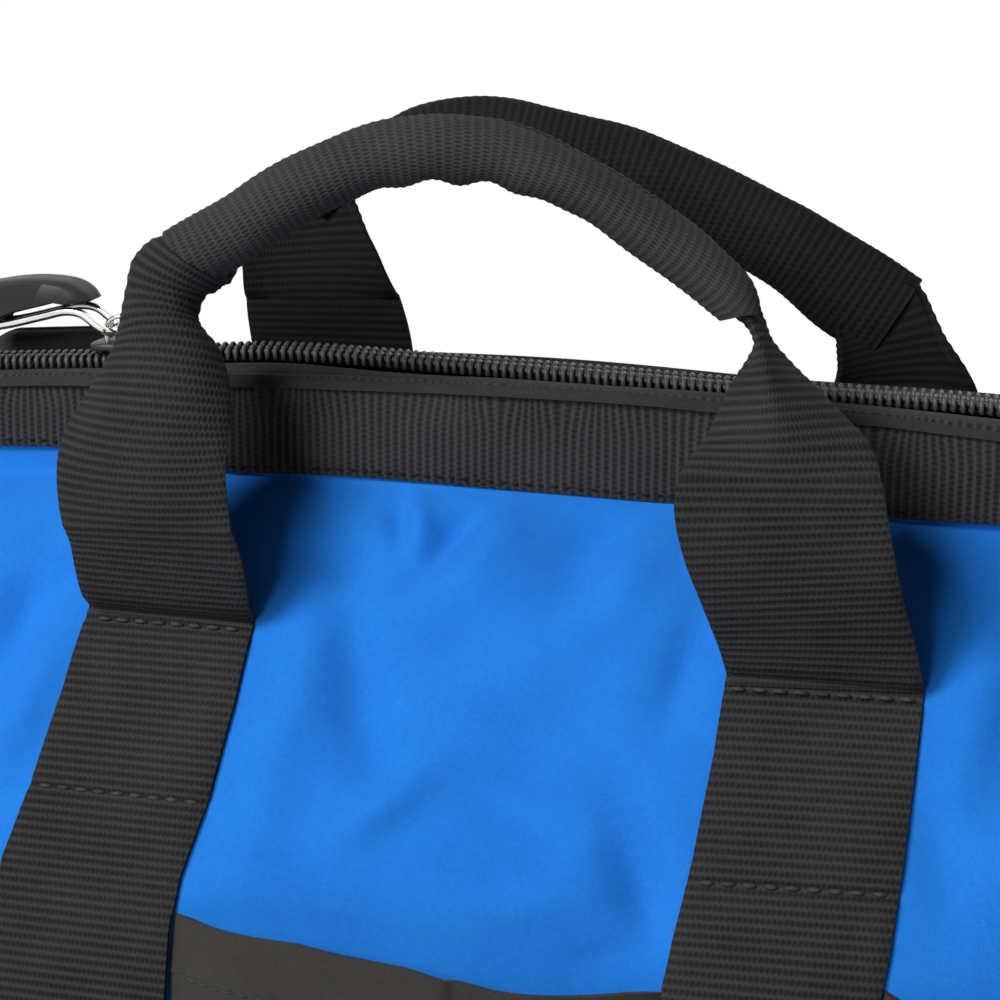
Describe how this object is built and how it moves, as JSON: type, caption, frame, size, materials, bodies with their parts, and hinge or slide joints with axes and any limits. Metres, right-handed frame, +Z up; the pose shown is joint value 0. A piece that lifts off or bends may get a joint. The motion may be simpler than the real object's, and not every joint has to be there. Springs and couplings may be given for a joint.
{
  "type": "zippered tool bag",
  "caption": "Wide-mouth soft tool bag with a zip along its arched top, two webbing handles and outside pockets.",
  "frame": {"origin": "centre of the base, on the surface it stands on", "axes": "+X along the bag and its zip, -Y towards the front wall, +Z up"},
  "size_m": [0.3586, 0.204, 0.2934],
  "materials": {
    "blue_fabric": "woven polyester",
    "black_webbing": "ribbed webbing",
    "pocket_fabric": "woven polyester",
    "zip_coil": "nylon coil",
    "nickel": "nickel plated",
    "steel_strip": "plain",
    "stiff_board": "matt",
    "rubber": "matt"
  },
  "bodies": {
    "root": {"base_panel": "pocket_fabric", "base_board": "stiff_board", "front_panel": "blue_fabric", "back_panel": "blue_fabric", "left_gusset": "blue_fabric", "right_gusset": "blue_fabric", "front_center_pocket": "pocket_fabric", "front_left_pocket": "pocket_fabric", "front_right_pocket": "pocket_fabric", "back_center_pocket": "pocket_fabric", "back_left_pocket": "pocket_fabric", "back_right_pocket": "pocket_fabric", "left_end_pocket": "pocket_fabric", "right_end_pocket": "pocket_fabric", "front_left_strap_lower": "black_webbing", "front_right_strap_lower": "black_webbing", "back_left_strap_lower": "black_webbing", "back_right_strap_lower": "black_webbing"},
    "front_mouth": {"front_flap_panel": "blue_fabric", "front_band": "black_webbing", "front_mouth_stay": "steel_strip", "front_zip_tape": "black_webbing", "front_zip_coil": "zip_coil", "front_left_strap_upper": "black_webbing", "front_right_strap_upper": "black_webbing", "left_front_pleat": "blue_fabric", "right_front_pleat": "blue_fabric", "left_zip_end": "black_webbing", "right_zip_end": "black_webbing"},
    "back_mouth": {"back_flap_panel": "blue_fabric", "back_band": "black_webbing", "back_mouth_stay": "steel_strip", "back_zip_tape": "black_webbing", "back_zip_coil": "zip_coil", "back_left_strap_upper": "black_webbing", "back_right_strap_upper": "black_webbing", "left_back_pleat": "blue_fabric", "right_back_pleat": "blue_fabric"},
    "front_handle": {"front_handle_left_leg": "black_webbing", "front_handle_right_leg": "black_webbing", "front_handle_grip": "black_webbing", "front_handle_core": "rubber"},
    "back_handle": {"back_handle_left_leg": "black_webbing", "back_handle_right_leg": "black_webbing", "back_handle_grip": "black_webbing", "back_handle_core": "rubber"},
    "slider": {"zip_slider": "nickel"},
    "pull": {"pull_wire": "nickel", "pull_tab": "rubber"}
  },
  "joints": [
    {"name": "front_mouth_fold", "type": "hinge", "parent": "root", "child": "front_mouth", "pos_m": [0, -0.07612, 0.12589], "axis": [1, 0, 0], "range_deg": [0, 45], "deforming": ["front_zip_tape", "front_zip_coil", "left_front_pleat", "right_front_pleat"]},
    {"name": "back_mouth_fold", "type": "hinge", "parent": "root", "child": "back_mouth", "pos_m": [0, 0.07612, 0.12589], "axis": [1, 0, 0], "range_deg": [-45, 0], "deforming": ["back_zip_tape", "back_zip_coil", "left_back_pleat", "right_back_pleat"]},
    {"name": "front_handle_swing", "type": "hinge", "parent": "front_mouth", "child": "front_handle", "pos_m": [0, -0.04688, 0.17685], "axis": [1, 0, 0], "range_deg": [0, 100]},
    {"name": "back_handle_swing", "type": "hinge", "parent": "back_mouth", "child": "back_handle", "pos_m": [0, 0.04688, 0.17685], "axis": [1, 0, 0], "range_deg": [-100, 0]},
    {"name": "slider_travel", "type": "hinge", "parent": "front_mouth", "child": "slider", "pos_m": [0, 0, -1.6692], "axis": [0, 1, 0], "range_deg": [-1.15, 7.48]},
    {"name": "pull_flip", "type": "hinge", "parent": "slider", "child": "pull", "pos_m": [-0.10776, 0, 0.23435], "axis": [0, 1, 0], "range_deg": [0, 60]}
  ],
  "couplings": [
    {"joint": "back_mouth_fold", "follows": "front_mouth_fold", "ratio": -1}
  ]
}
